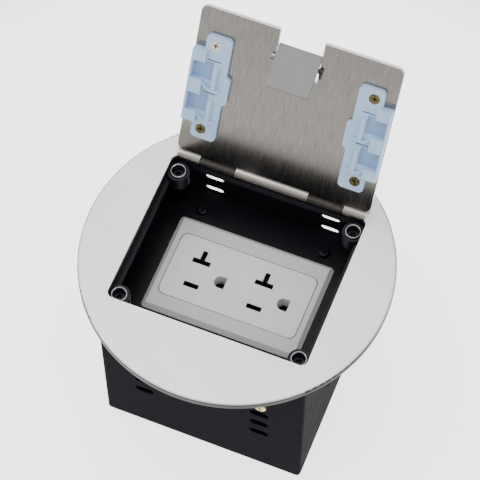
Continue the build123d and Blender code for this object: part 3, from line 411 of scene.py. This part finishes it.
# Clip screws: countersunk cross-slot screws, zinc plated with a warm yellow passivation.
yellow_zinc, tree, shader, place = finish("yellow_zinc_screw", Metallic=1.0, Roughness=0.3)
tree.links.new(mottle(tree, place, 1.0, "8d8256", "3a3421"), shader.inputs["Base Color"])
tree.links.new(spread(tree, place, 0.7, 0.22, 0.4), shader.inputs["Roughness"])

# One of the four is a later, clear-plated screw, brighter than the rest.
clear_zinc, tree, shader, place = finish("clear_zinc_screw", Metallic=1.0, Roughness=0.3)
tree.links.new(mottle(tree, place, 1.0, "eeece0", "c9c6b4"), shader.inputs["Base Color"])
tree.links.new(spread(tree, place, 0.7, 0.24, 0.36), shader.inputs["Roughness"])

# The crossed slots are painted black, as painted shade in their recesses.
screw_slot_shade, tree, shader, place = finish("painted_shade_in_screw_slot", Roughness=0.9, Specular_IOR_Level=0.1)
tree.links.new(mottle(tree, place, 0.6, "120f0c", "0a0908"), shader.inputs["Base Color"])
SCREW_X_MM, SCREW_ROWS_MM = 36.7, (18.2, 62.0)
SLOT_FLOOR_MM, SLOT_MOUTH_MM, SLOT_REACH_MM = 1.4, 2.08, 1.34


def on_clear_screw(at, normal):
    """Whether this face is on the clear-plated screw, at the top of the left moulding."""
    return at.x < 0 and at.z > 140


def in_screw_slot(at, normal):
    """Whether this face is in the crossed slot of a screw's head."""
    local = at - HINGE_MM
    along = min(abs(local.dot(LID_UP) - row) for row in SCREW_ROWS_MM)
    near = Vector((along, abs(at.x) - SCREW_X_MM)).length < SLOT_REACH_MM
    return near and SLOT_FLOOR_MM < local.dot(LID_NORMAL) < SLOT_MOUTH_MM


screw_finishes = ((clear_zinc, on_clear_screw), (screw_slot_shade, in_screw_slot))
dress("lid_clip_screws", yellow_zinc, edge_mm=0.05, others=screw_finishes)

# Floor: a plain pale studio floor, lit from below in a soft round pool about the box.
floor_mesh = bpy.data.meshes.new("floor")
plane = bmesh.new()
bmesh.ops.create_grid(plane, x_segments=1, y_segments=1, size=6.0)
plane.to_mesh(floor_mesh)
plane.free()
pale_floor, tree, shader, place = finish("pale_floor", Roughness=0.9, Emission_Strength=2.0)
tree.links.new(mottle(tree, place, 60.0, "f7f7f7", "f5f5f5"), shader.inputs["Base Color"])
POOL_START_M, POOL_END_M = 0.22, 0.3
reach = add(tree, "ShaderNodeVectorMath", {"Vector": place}, operation="LENGTH").outputs["Value"]
pool = add(tree, "ShaderNodeValToRGB", {"Fac": reach})
stops = pool.color_ramp.elements
stops[0].position = POOL_START_M
stops[0].color = linear("ffffff")
stops[1].position = POOL_END_M
stops[1].color = linear("000000")
tree.links.new(pool.outputs["Color"], shader.inputs["Emission Color"])
floor_mesh.materials.append(pale_floor)
floor = bpy.data.objects.new("floor", floor_mesh)
bpy.context.scene.collection.objects.link(floor)

# Shade card: a black sheet under the box, painted shade beneath it, so that no light comes up through the holes
# in its base.
card_mesh = bpy.data.meshes.new("shade_card")
plane = bmesh.new()
bmesh.ops.create_grid(plane, x_segments=1, y_segments=1, size=0.043)
bmesh.ops.translate(plane, vec=(0.0, 0.0, 0.0002), verts=plane.verts)
plane.to_mesh(card_mesh)
plane.free()
shade_card_black, tree, shader, place = finish("shade_card_black", Roughness=1.0, Specular_IOR_Level=0.0)
tree.links.new(mottle(tree, place, 5.0, "040404", "020202"), shader.inputs["Base Color"])
card_mesh.materials.append(shade_card_black)
card = bpy.data.objects.new("shade_card", card_mesh)
bpy.context.scene.collection.objects.link(card)

# Studio light: a white surround and three large soft panels.
world = bpy.data.worlds.new("studio")
world.use_nodes = True
world.node_tree.nodes["Background"].inputs["Color"].default_value = linear("ffffff")
world.node_tree.nodes["Background"].inputs["Strength"].default_value = 1.28
bpy.context.scene.world = world
for name, place_m, size_m, power in (
    ("top_panel", (-0.3, 0.2, 1.5), 1.2, 9.0),
    ("left_panel", (-1.3, -0.6, 0.9), 0.9, 6.0),
    ("right_panel", (1.4, -0.3, 0.7), 0.9, 5.0),
):
    lamp = bpy.data.lights.new(name, "AREA")
    lamp.shape = "SQUARE"
    lamp.size = size_m
    lamp.energy = power
    panel = bpy.data.objects.new(name, lamp)
    panel.location = place_m
    panel.rotation_euler = (Vector((0.0, 0.0, 0.1)) - Vector(place_m)).to_track_quat("-Z", "Y").to_euler()
    bpy.context.scene.collection.objects.link(panel)

# Camera: high in front and to the right of the box, with a long lens.
camera_data = bpy.data.cameras.new("camera")
camera_data.sensor_width = 36.0
camera_data.lens = 156.5
camera_data.clip_start = 0.05
camera = bpy.data.objects.new("camera", camera_data)
right = Vector((0.92862, 0.37103, 0.00136))
up = Vector((-0.32634, 0.81500, 0.47883))
back = Vector((0.17655, -0.44509, 0.87791))
turn = Matrix((right, up, back)).transposed().to_4x4()
camera.matrix_world = Matrix.Translation((0.16076, -0.40191, 0.91901)) @ turn
bpy.context.scene.collection.objects.link(camera)
bpy.context.scene.camera = camera
